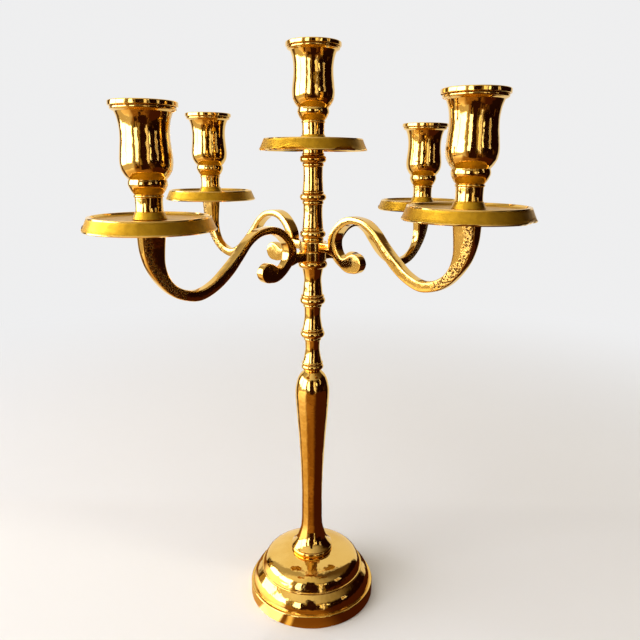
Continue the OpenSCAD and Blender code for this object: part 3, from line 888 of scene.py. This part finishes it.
def black_cards():
    """Two black cards behind the camera, a wide low one and a tall narrow one, that only the brass mirrors: a
    painted dark reflection that gives the brass its dark middle."""
    card, nodes, place = empty_material("painted_dark_reflection_card")
    tone = nodes.mix(nodes.noise(place, 12.0, 4), (0.010, 0.002, 0.001, 1), (0.040, 0.010, 0.005, 1))
    nodes.surface(emission(nodes, tone))
    low = -0.1
    # Painted dark reflection of what stands behind the camera
    for name, half, high, y in (("low_card", 0.18, 0.24, -0.62), ("tall_card", 0.10, 0.62, -0.63)):
        corners = [(-half, y, low), (half, y, low), (half, y, high), (-half, y, high)]
        only_mirrored(stage_mesh(name, corners, [(0, 1, 2, 3)], card))


def room_light():
    """A plain pale backdrop for the camera, and a room for the brass to mirror: a white wall behind,
    a pale wall round the panes on the left, a dim room in front and darkness on the right."""
    world = bpy.data.worlds.new("room")
    bpy.context.scene.world = world
    world.use_nodes = True
    nodes = Nodes(world.node_tree)
    direction = nodes.add("ShaderNodeTexCoord").outputs["Generated"]
    x, y, z = nodes.add("ShaderNodeSeparateXYZ", {0: direction}).outputs
    side = bearing(nodes, x, y)
    rise = nodes.math("DEGREES", nodes.math("ARCSINE", z))
    grain = nodes.noise(direction, 6.0, 4)
    stripes = nodes.vector(nodes.math("MULTIPLY", side, 0.16), nodes.math("MULTIPLY", rise, 0.012), 0.0)
    upright = nodes.noise(stripes, 1.0, 3, 0.6)
    front = nodes.mix(nodes.step(upright, 0.46, 0.58), (0.016, 0.004, 0.001, 1), (0.46, 0.30, 0.09, 1))
    dark = nodes.mix(nodes.step(grain, 0.58, 0.74), (0.010, 0.002, 0.001, 1), (0.14, 0.06, 0.015, 1))
    colour = nodes.mix(nodes.step(side, -26.0, -40.0), front, dark)
    # The floor and furniture of the room, darker on the right
    low = nodes.mix(nodes.step(grain, 0.42, 0.6), (0.03, 0.008, 0.002, 1), (0.30, 0.13, 0.03, 1))
    low = nodes.mix(nodes.step(side, -34.0, -54.0), low, (0.014, 0.004, 0.002, 1))
    colour = nodes.mix(nodes.step(rise, -7.0, -16.0), colour, low)
    # Light ceiling, darker on the right and above the panes
    ceiling = nodes.mix(nodes.step(side, 55.0, -100.0), (1.0, 0.92, 0.75, 1), (0.10, 0.06, 0.025, 1))
    ceiling = nodes.mix(nodes.step(side, 62.0, 96.0), ceiling, (0.50, 0.44, 0.34, 1))
    colour = nodes.mix(nodes.step(rise, 24.0, 38.0), colour, ceiling)
    # White wall behind, brighter on the side of the panes
    wall = nodes.mix(nodes.step(side, 0.0, 0.1), (0.86, 0.81, 0.73, 1), (1.0, 0.95, 0.87, 1))
    behind = nodes.step(nodes.math("ABSOLUTE", side), 126.0, 134.0)
    colour = nodes.mix(behind, colour, wall)
    # Pale sill and wall round the panes
    sill = window(nodes, side, rise, 40.0, 110.0, -50.0, 26.0, 4.0)
    colour = nodes.mix(sill, colour, (0.72, 0.58, 0.38, 1))
    mirrored = nodes.add("ShaderNodeBackground", {"Color": colour, "Strength": 1.0})
    plain = nodes.add("ShaderNodeBackground", {"Color": PLAIN, "Strength": 1.0})
    seen = nodes.add("ShaderNodeLightPath").outputs["Is Camera Ray"]
    shader = nodes.add("ShaderNodeMixShader", {0: seen, 1: mirrored.outputs[0], 2: plain.outputs[0]})
    nodes.add("ShaderNodeOutputWorld", {"Surface": shader.outputs[0]})


def soft_light(name, position, size, power):
    """A square lamp that shines on the column and isn't mirrored."""
    target = (0, 0, 0.15)
    light = bpy.data.lights.new(name, "AREA")
    light.shape = "SQUARE"
    light.size = size
    light.energy = power
    light.color = (1.0, 0.98, 0.96)
    lamp = bpy.data.objects.new(name, light)
    bpy.context.scene.collection.objects.link(lamp)
    lamp.location = position
    lamp.rotation_euler = (Vector(target) - Vector(position)).to_track_quat("-Z", "Y").to_euler()
    lamp.visible_camera = False
    lamp.visible_glossy = False


def add_camera():
    """Looks slightly down at the candelabrum from the front."""
    distance, height, aside = 0.444, 0.348, 0.0135
    look_down, turn, roll = math.radians(14.5), math.radians(1.02), math.radians(0.37)
    data = bpy.data.cameras.new("camera")
    data.sensor_width = 36.0
    data.lens = 34.17
    data.clip_start = 0.02
    camera = bpy.data.objects.new("camera", data)
    bpy.context.scene.collection.objects.link(camera)
    camera.matrix_world = (Matrix.Translation((aside, -distance, height)) @ Matrix.Rotation(turn, 4, "Z")
                           @ Matrix.Rotation(math.pi / 2 - look_down, 4, "X") @ Matrix.Rotation(roll, 4, "Z"))
    bpy.context.scene.camera = camera


plain_floor()
painted_table_reflection()
mirrored_walls()
black_cards()
room_light()
soft_light("key", (-1.2, -0.9, 1.3), 0.9, 9)
soft_light("fill", (1.4, -0.8, 1.0), 1.2, 5)
add_camera()
bpy.context.scene.view_settings.view_transform = "Standard"
